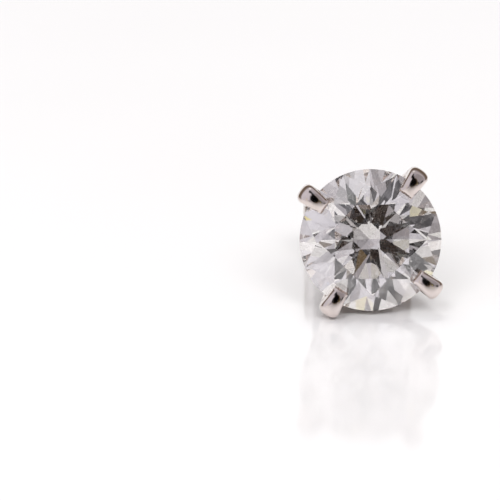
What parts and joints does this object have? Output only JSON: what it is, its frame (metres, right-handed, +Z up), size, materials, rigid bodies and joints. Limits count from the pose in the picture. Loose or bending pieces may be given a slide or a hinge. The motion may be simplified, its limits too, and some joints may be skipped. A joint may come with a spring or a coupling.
{
  "type": "stud earring",
  "caption": "Solitaire stud earring with a round brilliant stone in a four-prong white gold head, a straight ear post and a push-on clutch.",
  "frame": {"origin": "centre of the bottom of the resting stud's box, on the surface that it lies on", "axes": "+Z up from that surface; the stone faces -Y, tipped up by 13.5 degrees, and the post runs back along +Y, down by the same angle; +X is to the right as seen from in front of the stone"},
  "size_m": [0.0066, 0.0138, 0.0068],
  "materials": {
    "diamond": "polished",
    "white_gold": "polished",
    "clutch_gold": "polished"
  },
  "bodies": {
    "root": {"stone": "diamond", "setting": "white_gold", "clutch": "clutch_gold"}
  },
  "joints": []
}
